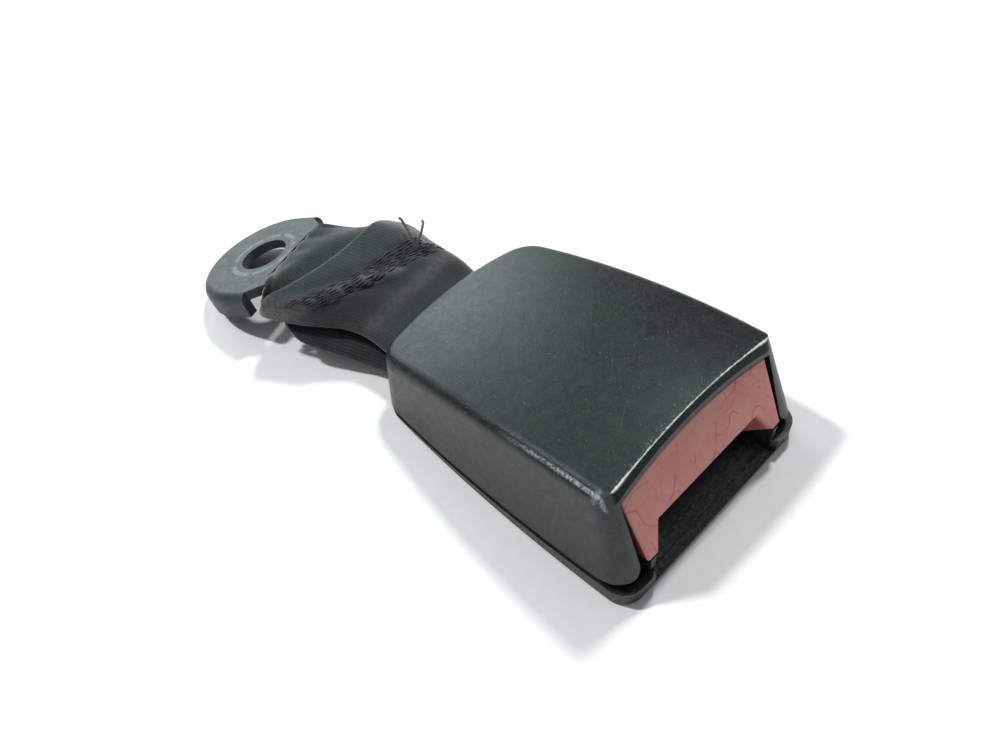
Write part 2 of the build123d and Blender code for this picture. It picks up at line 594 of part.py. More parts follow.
path += [(Vector(-14.2, 73.9, 18.05), 14.0, 1.6, 0.8), (Vector(-12.9, 69.8, 16.75), 16.2, WEB_T, 0.15),
         (Vector(-11.6, 64.7, 15.95), 16.7, WEB_T, 0.1), (Vector(-10.3, 59.0, 14.85), 16.7, WEB_T, 0.05),
         (Vector(-9.4, 55.0, 13.95), 16.7, WEB_T, 0.0)]

with BuildPart() as webbing:
    for i, (p, half, thick, k) in enumerate(path):
        before, after = path[max(i - 1, 0)][0], path[min(i + 1, len(path) - 1)][0]
        along = (after - before).normalized()
        across = blend(k)
        along = (along - across * along.dot(across)).normalized()
        with BuildSketch(Plane(origin=p, x_dir=across, z_dir=along)):
            Rectangle(2 * half, thick)
    loft(ruled=True)
    # round the inside of each loop
    rod_x(BAR_Y, BAR_Z, LOOP_R + 0.05, -24, 24, Mode.SUBTRACT)
    with BuildSketch(Plane(origin=PB - ANCHOR_U * 14, x_dir=ANCHOR_V, z_dir=ANCHOR_U)) as loop_sk:
        Circle(ANCHOR_LOOP_R + 0.03)
    extrude(loop_sk.sketch, amount=28, mode=Mode.SUBTRACT)

# ---------------------------------------------------------------- stitching across the top ply
S0, S1 = path[2][0], path[1][0]
stitch_across = blend(0.07)
stitch_along = (S1 - S0) - stitch_across * (S1 - S0).dot(stitch_across)
stitch_along = stitch_along.normalized()
stitch_up = stitch_across.cross(stitch_along)
with BuildPart() as stitching:
    for i in range(7):
        c = S0 + stitch_along * (0.3 + 0.9 * i) + stitch_up * (WEB_T / 2 + 0.05)
        with BuildSketch(Plane(origin=c - stitch_up * 0.25, x_dir=stitch_across, z_dir=stitch_up)):
            SlotOverall(31.0, 0.55)
        extrude(amount=0.5)
stitching.part.label = "stitching"
export_step(stitching.part, "parts/stitching.step")
print("stitching", stitching.part.is_valid, len(stitching.solids()), stitching.part.bounding_box())

with BuildPart() as webbing_bedded:
    add(webbing.part)
    add(stitching.part, mode=Mode.SUBTRACT)
webbing_bedded.part.label = "webbing"
export_step(webbing_bedded.part, "parts/webbing.step")
print("webbing", webbing_bedded.part.is_valid, len(webbing_bedded.solids()), webbing_bedded.part.bounding_box())

# two cut ends of the sewing thread, standing up beside the last row
with BuildPart() as thread_tails:
    for side, bend in ((16.2, 1.0), (15.4, -1.4)):
        p0 = S0 + stitch_across * side + stitch_along * (1.05 + 0.3 * bend) + stitch_up * (WEB_T / 2 + 0.6)
        pts = [p0, p0 + stitch_along * 1.6 + stitch_up * 0.7 + stitch_across * (0.3 * bend),
               p0 + stitch_along * 3.6 + stitch_up * 1.5 + stitch_across * (0.9 * bend),
               p0 + stitch_along * 6.2 + stitch_up * 1.7 + stitch_across * (1.5 * bend)]
        with BuildLine(mode=Mode.PRIVATE) as tail:
            Spline(*pts)
        with BuildSketch(Plane(origin=tail.line @ 0, z_dir=tail.line % 0), mode=Mode.PRIVATE) as sk:
            Circle(0.28)
        sweep(sk.sketch, path=tail.line)
thread_tails.part.label = "thread_tails"
export_step(thread_tails.part, "parts/thread_tails.step")
print("thread_tails", thread_tails.part.is_valid, len(thread_tails.solids()), thread_tails.part.bounding_box())
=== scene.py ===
import math
import random

import bmesh
import bpy
import numpy as np
from mathutils import Matrix, Vector


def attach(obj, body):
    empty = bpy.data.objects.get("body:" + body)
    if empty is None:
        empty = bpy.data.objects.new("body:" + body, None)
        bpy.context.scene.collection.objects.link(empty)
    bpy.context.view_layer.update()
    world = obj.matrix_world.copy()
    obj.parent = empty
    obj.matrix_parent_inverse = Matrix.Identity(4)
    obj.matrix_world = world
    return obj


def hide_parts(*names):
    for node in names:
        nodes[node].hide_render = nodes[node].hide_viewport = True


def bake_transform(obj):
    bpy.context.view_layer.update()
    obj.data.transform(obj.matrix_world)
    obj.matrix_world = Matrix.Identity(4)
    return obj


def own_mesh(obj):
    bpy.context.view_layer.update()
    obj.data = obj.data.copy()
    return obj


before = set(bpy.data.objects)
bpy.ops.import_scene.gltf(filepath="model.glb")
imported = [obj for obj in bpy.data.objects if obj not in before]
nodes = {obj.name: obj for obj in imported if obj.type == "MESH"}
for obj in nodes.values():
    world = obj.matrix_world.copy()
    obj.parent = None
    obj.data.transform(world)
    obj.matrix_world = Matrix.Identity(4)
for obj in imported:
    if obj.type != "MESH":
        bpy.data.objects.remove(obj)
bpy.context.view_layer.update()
scene = bpy.context.scene
MM = 0.001

# ------------------------------------------------------------------ camera
az, el, roll = -0.7310, 0.8749, -0.0939
back = Vector((math.sin(az) * math.cos(el), -math.cos(az) * math.cos(el), math.sin(el)))
right0 = Vector((math.cos(az), math.sin(az), 0))
up0 = back.cross(right0)
right = right0 * math.cos(roll) + up0 * math.sin(roll)
up = -right0 * math.sin(roll) + up0 * math.cos(roll)
cam_data = bpy.data.cameras.new("camera")
cam = bpy.data.objects.new("camera", cam_data)
scene.collection.objects.link(cam)
m = Matrix((right, up, back)).transposed().to_4x4()
m.translation = Vector((-95.947, -81.613, 167.148)) * MM
cam.matrix_world = m
cam_data.sensor_width = 36.0
cam_data.lens = 32.4
cam_data.clip_start, cam_data.clip_end = 0.005, 20
scene.camera = cam

# ------------------------------------------------------------------ floor and light
scene.view_settings.view_transform = "Standard"
scene.view_settings.look = "None"
scene.view_settings.exposure = 0.0
scene.view_settings.gamma = 1.0

floor_mesh = bpy.data.meshes.new("floor")
s = 1.5
floor_mesh.from_pydata([(-s, -s, -0.00002), (s, -s, -0.00002), (s, s, -0.00002), (-s, s, -0.00002)], [], [(0, 1, 2, 3)])
floor = bpy.data.objects.new("floor", floor_mesh)
scene.collection.objects.link(floor)



def area(name, loc, target, size, power, color=(1, 1, 1)):
    d = bpy.data.lights.new(name, "AREA")
    d.energy, d.size, d.color = power, size, color
    d.shape = "DISK"
    o = bpy.data.objects.new(name, d)
    scene.collection.objects.link(o)
    o.location = loc
    o.rotation_mode = "QUATERNION"
    o.rotation_quaternion = (Vector(target) - Vector(loc)).to_track_quat("-Z", "Y")
    return o


key = area("key_right", (0.59, 0.30, 1.0), (0, 0, 0.01), 0.15, 6.2)
key.visible_glossy = False
area("key_right_glint", (0.59, 0.30, 1.0), (0, 0, 0.01), 0.15, 1.8)
back_key = area("key_rear", (-0.34, 0.64, 1.0), (0, 0, 0.01), 0.09, 7.2)
back_key.visible_glossy = False
area("key_rear_glint", (-0.34, 0.64, 1.0), (0, 0, 0.01), 0.12, 2.6)

# a room: dark behind the viewer, paler overhead, a bright low backdrop to the rear
world = bpy.data.worlds.new("studio")
scene.world = world
world.use_nodes = True
wt = world.node_tree
bg = wt.nodes["Background"]
coord = wt.nodes.new("ShaderNodeTexCoord")
split = wt.nodes.new("ShaderNodeSeparateXYZ")
wt.links.new(coord.outputs["Generated"], split.inputs[0])
facing = wt.nodes.new("ShaderNodeVectorMath")
facing.operation = "DOT_PRODUCT"
facing.inputs[1].default_value = (0.30, 0.93, 0.21)
wt.links.new(coord.outputs["Generated"], facing.inputs[0])


def sky_ramp(value, lo, hi, a, b):
    n = wt.nodes.new("ShaderNodeMapRange")
    n.interpolation_type = "SMOOTHSTEP"
    wt.links.new(value, n.inputs["Value"])
    for k, v in (("From Min", lo), ("From Max", hi), ("To Min", a), ("To Max", b)):
        n.inputs[k].default_value = v
    return n.outputs[0]


total = wt.nodes.new("ShaderNodeMath")
total.operation = "ADD"
wt.links.new(sky_ramp(split.outputs[2], 0.30, 0.95, 0.05, 0.40), total.inputs[0])
wt.links.new(sky_ramp(facing.outputs["Value"], 0.89, 0.985, 0.0, 3.3), total.inputs[1])
wt.links.new(total.outputs[0], bg.inputs[1])
bg.inputs[0].default_value = (0.90, 1.0, 0.985, 1)

# ------------------------------------------------------------------ material building
class Mat:
    """a principled material with small helpers for its node graph"""

    def __init__(self, name):
        self.mat = bpy.data.materials.new(name)
        self.mat.use_nodes = True
        self.nt = self.mat.node_tree
        for n in list(self.nt.nodes):
            self.nt.nodes.remove(n)
        self.out = self.nt.nodes.new("ShaderNodeOutputMaterial")
        self.bsdf = self.nt.nodes.new("ShaderNodeBsdfPrincipled")
        self.nt.links.new(self.bsdf.outputs[0], self.out.inputs[0])
        self._mm = None
        self._uv = None

    def link(self, value, socket):
        if isinstance(value, (int, float)):
            socket.default_value = value
        elif isinstance(value, tuple):
            socket.default_value = (*value, 1) if len(value) == 3 and socket.type == "RGBA" else value
        else:
            self.nt.links.new(value, socket)

    def mm(self):
        """object coordinates in millimetres"""
        if self._mm is None:
            tc = self.nt.nodes.new("ShaderNodeTexCoord")
            sc = self.nt.nodes.new("ShaderNodeVectorMath")
            sc.operation = "SCALE"
            sc.inputs["Scale"].default_value = 1000
            self.nt.links.new(tc.outputs["Object"], sc.inputs[0])
            self._mm = sc.outputs[0]
        return self._mm

    def uv(self):
        if self._uv is None:
            self._uv = self.nt.nodes.new("ShaderNodeTexCoord").outputs["UV"]
        return self._uv

    def scaled(self, vec, s):
        n = self.nt.nodes.new("ShaderNodeVectorMath")
        n.operation = "MULTIPLY"
        self.nt.links.new(vec, n.inputs[0])
        n.inputs[1].default_value = s
        return n.outputs[0]

    def turned(self, vec, angles):
        n = self.nt.nodes.new("ShaderNodeVectorRotate")
        n.rotation_type = "EULER_XYZ"
        n.inputs["Rotation"].default_value = angles
        self.nt.links.new(vec, n.inputs[0])
        return n.outputs[0]

    def xyz(self, vec):
        n = self.nt.nodes.new("ShaderNodeSeparateXYZ")
        self.nt.links.new(vec, n.inputs[0])
        return n.outputs[0], n.outputs[1], n.outputs[2]

    def noise(self, scale, detail=3.0, vec=None, rough=0.55, distort=0.0):
        n = self.nt.nodes.new("ShaderNodeTexNoise")
        n.inputs["Scale"].default_value = scale
        n.inputs["Detail"].default_value = detail
        n.inputs["Roughness"].default_value = rough
        n.inputs["Distortion"].default_value = distort
        self.nt.links.new(vec if vec is not None else self.mm(), n.inputs["Vector"])
        return n.outputs["Fac"]

    def cells(self, scale, vec=None, feature="F1"):
        n = self.nt.nodes.new("ShaderNodeTexVoronoi")
        n.feature = feature
        n.inputs["Scale"].default_value = scale
        self.nt.links.new(vec if vec is not None else self.mm(), n.inputs["Vector"])
        return n.outputs["Distance"]

    def wave(self, scale, vec, direction="X", distort=0.0, dscale=1.0):
        n = self.nt.nodes.new("ShaderNodeTexWave")
        n.wave_type = "BANDS"
        n.bands_direction = direction
        n.inputs["Scale"].default_value = scale
        n.inputs["Distortion"].default_value = distort
        n.inputs["Detail Scale"].default_value = dscale
        self.nt.links.new(vec, n.inputs["Vector"])
        return n.outputs["Fac"]

    def math(self, op, a, b=0.0, c=0.0):
        n = self.nt.nodes.new("ShaderNodeMath")
        n.operation = op
        for v, i in ((a, 0), (b, 1), (c, 2)):
            self.link(v, n.inputs[i])
        return n.outputs[0]

    def step(self, value, lo, hi, a=0.0, b=1.0):
        """smooth ramp from a to b as value goes from lo to hi"""
        n = self.nt.nodes.new("ShaderNodeMapRange")
        n.interpolation_type = "SMOOTHSTEP"
        self.link(value, n.inputs["Value"])
        for k, v in (("From Min", lo), ("From Max", hi), ("To Min", a), ("To Max", b)):
            n.inputs[k].default_value = v
        return n.outputs[0]

    def mix(self, fac, a, b):
        n = self.nt.nodes.new("ShaderNodeMix")
        n.data_type = "RGBA"
        self.link(fac, n.inputs[0])
        self.link(a, n.inputs[6])
        self.link(b, n.inputs[7])
        return n.outputs[2]

    def bump(self, height, strength, distance_mm, under=None):
        n = self.nt.nodes.new("ShaderNodeBump")
        n.inputs["Strength"].default_value = strength
        n.inputs["Distance"].default_value = distance_mm * MM
        self.nt.links.new(height, n.inputs["Height"])
        if under is not None:
            self.nt.links.new(under, n.inputs["Normal"])
        return n.outputs[0]

    def done(self, color, rough, normal=None, metallic=0.0, spec=0.5):
        self.link(color, self.bsdf.inputs["Base Color"])
        self.link(rough, self.bsdf.inputs["Roughness"])
        self.link(metallic, self.bsdf.inputs["Metallic"])
        self.link(spec, self.bsdf.inputs["Specular IOR Level"])
        if normal is not None:
            self.nt.links.new(normal, self.bsdf.inputs["Normal"])
        return self.mat


def scratches(m, angle, scale, lo, hi, stretch=40.0):
    """thin straight scratches in one direction"""
    v = m.scaled(m.turned(m.mm(), (0, 0, angle)), (1.0 / stretch, 1.0, 1.0 / stretch))
    n = m.noise(scale, 2.0, v, 0.5)
    gate = m.step(m.noise(0.09, 1.0, m.turned(m.mm(), (0, 0, angle + 0.4))), 0.5, 0.62)
    return m.math("MULTIPLY", m.step(n, lo, hi), gate)


def curls(m, scale, width, seed):
    """thin curved hairline marks: the zero line of a soft noise"""
    v = m.turned(m.scaled(m.mm(), (1.0, 1.0, 1.0)), (0.3 * seed, 0.2, seed))
    n = m.noise(scale, 1.0, v, 0.4, 0.6)
    return m.step(m.math("ABSOLUTE", m.math("SUBTRACT", n, 0.5)), width, 0.0)


def cover_material(name, upper):
    m = Mat(name)
    x, y, z = m.xyz(m.mm())
    grain = m.noise(3.2, 2.0)
    fine = m.cells(2.6)
    tone = m.noise(0.05, 3.0)
    base = m.mix(m.step(tone, 0.35, 0.7), (0.0060, 0.0085, 0.0082), (0.0088, 0.0122, 0.0116))
    # pale dust and grit caught in the grain
    speck = m.math("MULTIPLY", m.step(m.cells(0.95), 0.17, 0.05), m.step(m.noise(0.9, 3.0), 0.50, 0.62))
    finer = m.math("MULTIPLY", m.step(m.cells(2.1, m.turned(m.mm(), (0.2, 0.5, 0.9))), 0.26, 0.10), m.step(m.noise(0.5, 3.0), 0.36, 0.54))
    base = m.mix(m.math("MULTIPLY", finer, 0.60), base, (0.085, 0.105, 0.100))
    base = m.mix(m.math("MULTIPLY", speck, 0.62), base, (0.20, 0.235, 0.225))
    marks = m.math("MAXIMUM", scratches(m, 0.75, 1.5, 0.70, 0.78), scratches(m, -0.5, 1.1, 0.72, 0.80))
    marks = m.math("MAXIMUM", marks, scratches(m, 1.45, 1.7, 0.72, 0.80))
    base = m.mix(m.math("MULTIPLY", marks, 0.32), base, (0.07, 0.085, 0.085))
    rough = m.step(m.noise(0.6, 3.0), 0.2, 0.8, 0.34, 0.44)
    gloss = m.step(m.noise(0.4, 2.0), 0.3, 0.7, 0.55, 0.65)
    if upper:
        base = m.mix(m.step(m.noise(0.3, 4.0), 0.3, 0.8, 0.0, 0.05), base, (0.105, 0.125, 0.122))
        # painted highlight along the front crease, mixed with worn chips on the edge
        front = m.math("MULTIPLY", m.math("ADD", m.math("SUBTRACT", y, m.math("MULTIPLY", z, 0.37)), 39.93), 0.938)
        down = m.math("SUBTRACT", m.math("SUBTRACT", 30.31, m.math("DIVIDE", m.math("MULTIPLY", x, x), 254.6)), z)
        edge = m.math("ADD", m.math("MAXIMUM", front, 0.0), m.math("MAXIMUM", down, 0.0))
        broken = m.math("MULTIPLY", m.math("SUBTRACT", m.noise(1.3, 4.0), 0.5), 0.50)
        side = m.step(m.math("ABSOLUTE", x), 18.0, 26.0, 0.0, 0.22)
        wear_and_painted_highlight = m.step(m.math("SUBTRACT", m.math("ADD", edge, broken), side), 0.58, 0.24)
        flake = m.math("MULTIPLY", m.step(m.math("SUBTRACT", edge, side), 2.4, 0.4), m.step(m.noise(2.2, 3.0), 0.60, 0.68))
        wear_and_painted_highlight = m.math("MAXIMUM", wear_and_painted_highlight, m.math("MULTIPLY", flake, 0.35))
        # painted highlight: a glint painted as a pale patch on the near front corner
        px_ = m.math("ADD", m.math("ABSOLUTE", m.math("ADD", x, 27.6)), m.math("ADD", m.math("ABSOLUTE", m.math("ADD", y, 27.4)), m.math("ABSOLUTE", m.math("SUBTRACT", z, 27.2))))
        wear_and_painted_highlight = m.math("MAXIMUM", wear_and_painted_highlight, m.math("MULTIPLY", m.step(m.math("ADD", px_, m.math("MULTIPLY", broken, 3.0)), 2.8, 0.6), 0.5))
        base = m.mix(wear_and_painted_highlight, base, (0.52, 0.60, 0.59))
        # painted reflection of the floor: a paler band along the top of the opening
        arch = m.math("SUBTRACT", z, m.math("SUBTRACT", 27.3, m.math("DIVIDE", m.math("MULTIPLY", x, x), 196.6)))
        band = m.math("MULTIPLY", m.math("MULTIPLY", m.step(arch, -0.05, 0.05), m.step(arch, 0.95, 0.75)), m.step(front, 0.25, 0.1))
        band = m.math("MULTIPLY", band, m.step(m.math("ABSOLUTE", x), 24.0, 23.0))
        base = m.mix(m.math("MULTIPLY", band, 0.7), base, (0.035, 0.040, 0.040))
        # worn edge plus a painted highlight along the crest of the near shoulder
        run = m.math("ADD", x, 26.75)
        along_edge = m.math("MULTIPLY", m.step(m.math("ABSOLUTE", run), 0.50, 0.10), m.math("MULTIPLY", m.step(y, 3.0, -24.0), m.step(z, 23.0, 24.6)))
        polish_and_painted_highlight = m.math("MULTIPLY", along_edge, m.step(m.noise(1.8, 4.0, None, 0.65), 0.34, 0.62))
        base = m.mix(m.math("MULTIPLY", polish_and_painted_highlight, 0.9), base, (0.42, 0.49, 0.48))
        # the nose above it is smoother, and darker with painted shade
        nose = m.math("MULTIPLY", m.step(arch, 0.8, 1.0), m.step(front, 0.5, 0.1))
        base = m.mix(m.math("MULTIPLY", m.math("SUBTRACT", nose, wear_and_painted_highlight), 0.8), base, (0.006, 0.007, 0.007))
        gloss = m.math("MULTIPLY", gloss, m.math("SUBTRACT", 1.0, m.math("MULTIPLY", nose, 0.85)))
        # rubbed shoulders
        rub = m.math("MULTIPLY", m.step(m.noise(0.5, 4.0), 0.58, 0.7), m.step(m.math("ABSOLUTE", x), 22.0, 27.0))
        base = m.mix(m.math("MULTIPLY", rub, 0.2), base, (0.05, 0.06, 0.06))
    else:
        lip = m.math("MULTIPLY", m.step(y, -31.0, -34.0), m.step(m.math("ABSOLUTE", x), 21.5, 19.5))
        scuff = m.math("MULTIPLY", lip, m.step(m.noise(0.9, 5.0, m.scaled(m.mm(), (0.8, 1.6, 1.0)), 0.65), 0.46, 0.58))
        base = m.mix(m.math("MULTIPLY", scuff, 0.75), base, (0.075, 0.088, 0.088))
        # painted shade on the front face of the lip
        edge = m.math("MULTIPLY", m.step(y, -38.15, -38.6), m.step(m.math("ABSOLUTE", x), 22.0, 20.5))
        base = m.mix(m.math("MULTIPLY", edge, m.step(m.noise(1.6, 3.0), 0.35, 0.55, 0.35, 1.0)), base, (0.016, 0.019, 0.018))
        rim = m.math("MULTIPLY", m.step(z, 2.2, 3.6), m.step(m.noise(0.8, 4.0), 0.45, 0.65))
        base = m.mix(m.math("MULTIPLY", rim, 0.3), base, (0.045, 0.052, 0.052))
    h = m.math("ADD", m.math("MULTIPLY", grain, 0.7), m.math("MULTIPLY", fine, 0.5))
    h = m.math("SUBTRACT", h, m.math("MULTIPLY", marks, 0.6))
    m.bsdf.inputs["Specular Tint"].default_value = (0.86, 1.0, 0.97, 1)
    return m.done(base, rough, m.bump(h, 0.55, 0.07), spec=gloss)


def button_material():
    m = Mat("button_red")
    x, y, z = m.xyz(m.mm())
    face = m.math("MULTIPLY", m.math("SUBTRACT", m.math("ADD", y, 37.8), m.math("MULTIPLY", m.math("SUBTRACT", z, 8.8), 0.489)), 0.898)
    bleached = m.step(face, 1.0, 0.1)
    low = m.step(z, 14.0, 19.0)
    patch = m.noise(0.12, 4.0, None, 0.6, 0.8)
    pale = m.mix(m.step(patch, 0.35, 0.65), (0.74, 0.255, 0.245), (0.80, 0.315, 0.300))
    pale = m.mix(m.math("MULTIPLY", m.step(m.noise(0.06, 2.0), 0.45, 0.62), 0.4), pale, (0.68, 0.30, 0.22))
    deep = m.mix(m.step(m.noise(0.4, 3.0), 0.3, 0.7), (0.30, 0.030, 0.036), (0.38, 0.045, 0.052))
    base = m.mix(bleached, deep, pale)
    marks = m.math("MAXIMUM", m.math("MULTIPLY", curls(m, 0.09, 0.011, 1.0), m.step(m.noise(0.2, 2.0), 0.42, 0.56)),
                   m.math("MULTIPLY", curls(m, 0.12, 0.009, 2.3), m.step(m.noise(0.17, 2.0, m.turned(m.mm(), (0, 0, 1.2))), 0.47, 0.6)))
    marks = m.math("MAXIMUM", marks, scratches(m, 1.2, 1.3, 0.66, 0.72, 12.0))
    marks = m.math("MAXIMUM", marks, scratches(m, 0.5, 1.1, 0.66, 0.72, 9.0))
    marks = m.math("MAXIMUM", marks, scratches(m, -0.35, 1.2, 0.67, 0.73, 10.0))
    base = m.mix(m.math("MULTIPLY", m.math("MULTIPLY", marks, bleached), 0.60), base, (0.40, 0.080, 0.090))
    rough = m.step(m.noise(0.8, 4.0), 0.25, 0.75, 0.42, 0.58)
    h = m.math("SUBTRACT", m.noise(2.4, 3.0), m.math("MULTIPLY", marks, 0.2))
    return m.done(base, rough, m.bump(h, 0.18, 0.05), spec=0.4)


def anchor_material():
    m = Mat("anchor_grey")
    sub = m.nt.nodes.new("ShaderNodeVectorMath")
    sub.operation = "SUBTRACT"
    m.nt.links.new(m.mm(), sub.inputs[0])
    sub.inputs[1].default_value = (-20.35, 89.56, 11.72)
    dist = m.nt.nodes.new("ShaderNodeVectorMath")
    dist.operation = "LENGTH"
    m.nt.links.new(sub.outputs[0], dist.inputs[0])
    r = dist.outputs["Value"]
    tone = m.noise(0.11, 4.0, None, 0.6)
    base = m.mix(m.step(tone, 0.35, 0.68), (0.034, 0.043, 0.045), (0.046, 0.057, 0.059))
    ring = m.math("MULTIPLY", m.step(r, 7.4, 8.3), m.step(r, 9.4, 8.8))
    ring = m.math("MULTIPLY", ring, m.step(m.noise(0.5, 3.0), 0.35, 0.55))
    base = m.mix(m.math("MULTIPLY", ring, 0.5), base, (0.20, 0.225, 0.23))
    bore = m.step(r, 6.7, 6.3)
    base = m.mix(m.math("MULTIPLY", bore, 0.6), base, (0.05, 0.056, 0.058))
    chip = m.math("MULTIPLY", m.step(m.noise(1.2, 5.0, None, 0.7), 0.64, 0.70), m.step(m.noise(0.2, 2.0), 0.45, 0.6))
    base = m.mix(m.math("MULTIPLY", chip, 0.6), base, (0.26, 0.25, 0.24))
    hair = scratches(m, 0.35, 1.6, 0.68, 0.76)
    base = m.mix(m.math("MULTIPLY", hair, 0.4), base, (0.24, 0.26, 0.26))
    rough = m.step(m.noise(0.7, 4.0), 0.3, 0.7, 0.36, 0.50)
    h = m.math("SUBTRACT", m.noise(1.4, 3.0), m.math("ADD", m.math("MULTIPLY", chip, 1.2), m.math("MULTIPLY", ring, 0.4)))
    return m.done(base, rough, m.bump(h, 0.22, 0.06), metallic=0.05, spec=0.24)


def webbing_material():
    m = Mat("webbing_black")
    uv = m.uv()
    u, v, _ = m.xyz(uv)
    # uv in millimetres: u across the webbing, v along it
    rib = m.math("ABSOLUTE", m.math("SINE", m.math("MULTIPLY", u, 3.02)))
    shift = m.math("MULTIPLY", m.math("FLOOR", m.math("MULTIPLY", u, 0.961)), 1.9)
    pick = m.math("ABSOLUTE", m.math("SINE", m.math("ADD", m.math("MULTIPLY", v, 3.4), shift)))
    weave = m.math("ADD", m.math("MULTIPLY", rib, 0.75), m.math("MULTIPLY", pick, 0.35))
    fuzz = m.noise(2.4, 3.0)
    tone = m.noise(0.08, 4.0, None, 0.6)
    x, y, z = m.xyz(m.mm())
    base = m.mix(m.step(tone, 0.3, 0.7), (0.020, 0.027, 0.0275), (0.034, 0.043, 0.0435))
    # painted shade in the weave's grooves, deeper low down on the near flap
    flap = m.step(z, 13.0, 8.5, 0.30, 0.75)
    base = m.mix(m.math("MULTIPLY", m.step(weave, 0.25, 0.9, 1.0, 0.0), flap), base, (0.007, 0.009, 0.009))
    base = m.mix(m.math("MULTIPLY", m.step(m.noise(1.3, 4.0, None, 0.7), 0.60, 0.72), 0.4), base, (0.070, 0.080, 0.080))
    rub_highlight_shade_attr = m.nt.nodes.new("ShaderNodeAttribute")
    rub_highlight_shade_attr.attribute_name = "rub_highlight_groove_shade"
    # painted shade in the grooves between the stitch rows
    groove = m.math("MAXIMUM", m.math("MULTIPLY", rub_highlight_shade_attr.outputs["Fac"], -1.0), 0.0)
    base = m.mix(m.math("MULTIPLY", groove, 0.85), base, (0.006, 0.008, 0.008))
    # rubbing plus a painted highlight along the fold ridges
    wear_and_painted_highlight = m.math("MULTIPLY", m.math("MAXIMUM", rub_highlight_shade_attr.outputs["Fac"], 0.0), m.step(m.noise(0.9, 4.0, None, 0.65), 0.30, 0.62, 0.35, 1.0))
    base = m.mix(m.math("MULTIPLY", wear_and_painted_highlight, 0.75), base, (0.115, 0.130, 0.125))
    # rust-coloured rub where the webbing leaves the anchor's slot on the near side
    d = m.math("ADD", m.math("ABSOLUTE", m.math("ADD", x, 26.0)), m.math("ABSOLUTE", m.math("SUBTRACT", y, 76.0)))
    tan = m.math("MULTIPLY", m.step(d, 4.6, 1.6), m.step(m.noise(0.8, 3.0), 0.35, 0.6))
    base = m.mix(m.math("MULTIPLY", tan, 0.55), base, (0.21, 0.15, 0.11))
    rough = m.step(m.noise(1.0, 3.0), 0.3, 0.7, 0.62, 0.8)
    h = m.math("ADD", weave, m.math("MULTIPLY", fuzz, 0.25))
    mat = m.done(base, rough, m.bump(h, 0.42, 0.11), spec=0.3)
    m.bsdf.inputs["Sheen Weight"].default_value = 0.45
    m.bsdf.inputs["Sheen Roughness"].default_value = 0.45
    return mat


def thread_material():
    m = Mat("thread_black")
    twist = m.wave(1.4, m.turned(m.mm(), (0.4, 0.3, 0.8)), "X", 1.5, 1.2)
    base = m.mix(m.step(m.noise(0.5, 3.0), 0.35, 0.65), (0.022, 0.029, 0.030), (0.045, 0.054, 0.054))
    base = m.mix(m.step(twist, 0.2, 0.9, 0.4, 0.0), base, (0.010, 0.012, 0.012))
    rough = m.step(twist, 0.1, 0.9, 0.7, 0.5)
    mat = m.done(base, rough, m.bump(twist, 0.6, 0.12), spec=0.35)
    m.bsdf.inputs["Sheen Weight"].default_value = 0.25
    return mat


def steel_material(name, tone, lo, hi, scale=1.0, stretch=(0.05, 1.0, 1.0)):
    m = Mat(name)
    brushed = m.noise(3.0 * scale, 4.0, m.scaled(m.mm(), stretch), 0.6)
    cloud = m.noise(0.25, 4.0)
    a = tuple(c * 0.75 for c in tone)
    base = m.mix(m.step(cloud, 0.3, 0.7), a, tone)
    base = m.mix(m.math("MULTIPLY", m.step(m.noise(1.1, 5.0, None, 0.7), 0.62, 0.72), 0.4), base, (0.25, 0.22, 0.19))
    rough = m.step(brushed, 0.25, 0.75, lo, hi)
    return m.done(base, rough, m.bump(brushed, 0.25, 0.03), metallic=1.0)


def moulded_material(name, a, b, lo, hi):
    m = Mat(name)
    base = m.mix(m.step(m.noise(0.15, 4.0), 0.3, 0.7), a, b)
    base = m.mix(m.math("MULTIPLY", m.step(m.noise(1.3, 4.0), 0.6, 0.72), 0.35), base, tuple(c * 0.6 for c in a))
    rough = m.step(m.noise(0.9, 3.0), 0.3, 0.7, lo, hi)
    return m.done(base, rough, m.bump(m.noise(2.8, 2.0), 0.2, 0.04), spec=0.5)


cover_upper = cover_material("cover_black", True)
cover_lower = cover_material("tray_black", False)
red = button_material()
guide = moulded_material("guide_black", (0.006, 0.007, 0.007), (0.012, 0.013, 0.013), 0.5, 0.65)
web_mat = webbing_material()
thread_mat = thread_material()
anchor_mat = anchor_material()
frame_mat = steel_material("frame_steel", (0.48, 0.47, 0.43), 0.32, 0.5)
latch_mat = steel_material("latch_steel", (0.55, 0.54, 0.52), 0.22, 0.4)
pin_mat = steel_material("pin_steel", (0.62, 0.62, 0.61), 0.15, 0.32, 1.4, (1.0, 0.2, 0.2))
spring_mat = steel_material("spring_steel", (0.42, 0.42, 0.43), 0.2, 0.38, 1.6, (1.0, 1.0, 1.0))
white = moulded_material("ejector_white", (0.62, 0.60, 0.53), (0.70, 0.68, 0.62), 0.35, 0.5)
sleeve = moulded_material("sleeve_plastic", (0.40, 0.40, 0.37), (0.50, 0.50, 0.47), 0.4, 0.55)
rubber = moulded_material("buffer_rubber", (0.018, 0.018, 0.018), (0.03, 0.03, 0.03), 0.7, 0.85)
rules = {"upper_cover": cover_upper, "lower_cover": cover_lower, "press_button": red, "tongue_guide": guide,
         "webbing": web_mat, "stitching": thread_mat, "thread_tails": thread_mat, "anchor_plate": anchor_mat,
         "frame": frame_mat, "bridge": frame_mat, "bridge_rivets": pin_mat, "latch_plate": latch_mat,
         "latch_pin": pin_mat, "pin_clip": spring_mat, "latch_spring": spring_mat, "ejector_spring": spring_mat,
         "button_spring_left": spring_mat, "button_spring_right": spring_mat, "guide_rod": pin_mat,
         "webbing_bar": pin_mat, "ejector": white, "bar_sleeve": sleeve, "latch_buffer": rubber}
for name, o in nodes.items():
    o.data.materials.clear()
    o.data.materials.append(rules[name])

